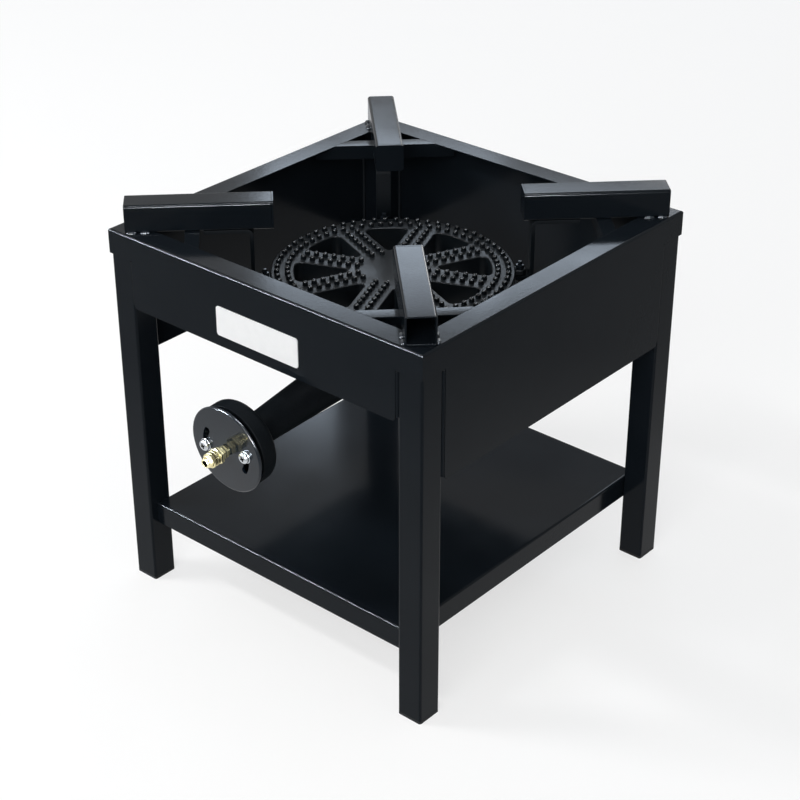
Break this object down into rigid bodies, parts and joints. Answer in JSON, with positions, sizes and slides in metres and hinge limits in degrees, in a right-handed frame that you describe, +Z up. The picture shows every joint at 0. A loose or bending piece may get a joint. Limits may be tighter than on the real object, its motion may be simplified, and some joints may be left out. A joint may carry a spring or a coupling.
{
  "type": "gas burner stove",
  "caption": "Square steel gas stove with a cast burner wheel under diagonal pot supports, a tray shelf and a turning air shutter on its inlet tube.",
  "frame": {"origin": "on the floor, under the middle of the square frame", "axes": "+Z up, -Y towards the front with the gas inlet, +X to the right seen from the front"},
  "size_m": [0.42, 0.4983, 0.452],
  "materials": {
    "black_steel": "satin black powder coat",
    "cast_iron": "black painted casting",
    "shutter_steel": "glossy black paint",
    "zinc": "bright zinc plate",
    "brass": "machined",
    "black_plastic": "moulded",
    "badge_white": "printed plate left bare",
    "gasket": "graphite sheet"
  },
  "bodies": {
    "stove": {"apron_back": "black_steel", "apron_front": "black_steel", "apron_left": "black_steel", "apron_right": "black_steel", "badge_plate": "badge_white", "burner_bolts": "black_steel", "burner_hanger_back_left": "black_steel", "burner_hanger_back_right": "black_steel", "burner_hanger_front_left": "black_steel", "burner_hanger_front_right": "black_steel", "burner_head": "cast_iron", "burner_nuts": "black_steel", "corner_brace_back_left": "black_steel", "corner_brace_back_right": "black_steel", "corner_brace_front_left": "black_steel", "corner_brace_front_right": "black_steel", "flange_bolts": "zinc", "flange_gasket": "gasket", "foot_plug_back_left": "black_plastic", "foot_plug_back_right": "black_plastic", "foot_plug_front_left": "black_plastic", "foot_plug_front_right": "black_plastic", "inlet_fitting": "brass", "leg_back_left": "black_steel", "leg_back_right": "black_steel", "leg_front_left": "black_steel", "leg_front_right": "black_steel", "mixing_tube": "cast_iron", "orifice_jet": "brass", "pot_support_back_left": "black_steel", "pot_support_back_right": "black_steel", "pot_support_end_plates": "black_steel", "pot_support_front_left": "black_steel", "pot_support_front_right": "black_steel", "shelf_tray": "black_steel", "shutter_screws": "zinc", "shutter_washers": "zinc"},
    "shutter": {"air_shutter": "shutter_steel"}
  },
  "joints": [
    {"name": "shutter_turn", "type": "hinge", "parent": "stove", "child": "shutter", "pos_m": [0, -0.2575, 0.26312], "axis": [0, -0.9969, -0.0785], "range_deg": [0, 38]}
  ]
}
